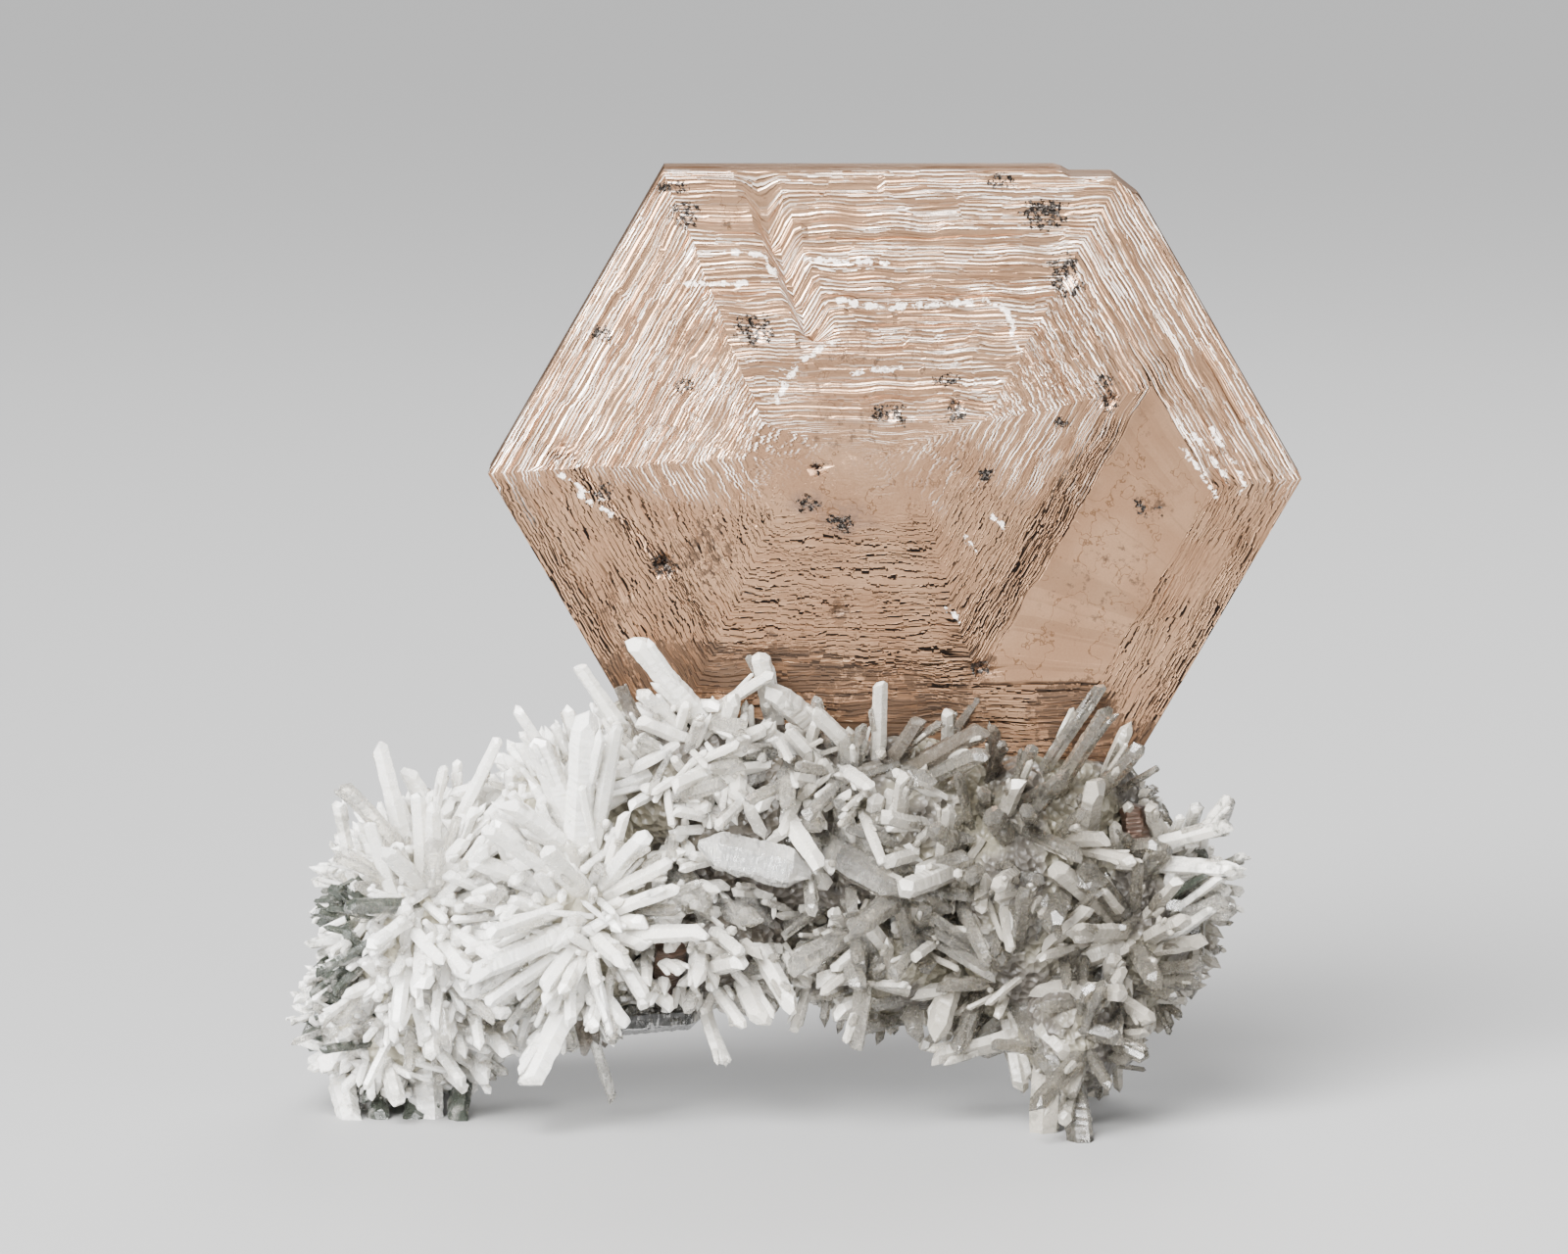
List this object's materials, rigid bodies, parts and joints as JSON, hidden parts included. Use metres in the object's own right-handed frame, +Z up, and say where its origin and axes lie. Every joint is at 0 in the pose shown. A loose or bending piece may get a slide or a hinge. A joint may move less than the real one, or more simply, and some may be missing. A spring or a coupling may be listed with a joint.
{
  "type": "pyrrhotite crystal specimen on quartz",
  "caption": "Large hexagonal tabular pyrrhotite crystal with stepped metallic faces, standing upright in an arched cluster of white needle quartz.",
  "frame": {"origin": "on the surface that the specimen stands on, under the middle of its box", "axes": "+X to the right seen from the front, +Y towards the back, +Z up; the stepped face that shows best looks along -Y"},
  "size_m": [0.1246, 0.0536, 0.1171],
  "materials": {
    "pyrrhotite": "metallic lustre, bronze-pink, finely stepped",
    "dark_pyrrhotite": "dull metallic brown, striated",
    "milky_quartz": "frosted, translucent white",
    "clear_quartz": "clear to frosted, striated",
    "smoky_quartz": "clear, dark"
  },
  "bodies": {
    "root": {"pyrrhotite_crystal": "pyrrhotite", "quartz_cluster": "milky_quartz", "stout_clear_crystal": "clear_quartz", "dark_clear_crystal": "smoky_quartz", "small_pyrrhotite_crystal": "dark_pyrrhotite", "brown_pyrrhotite_crystal": "dark_pyrrhotite"}
  },
  "joints": []
}
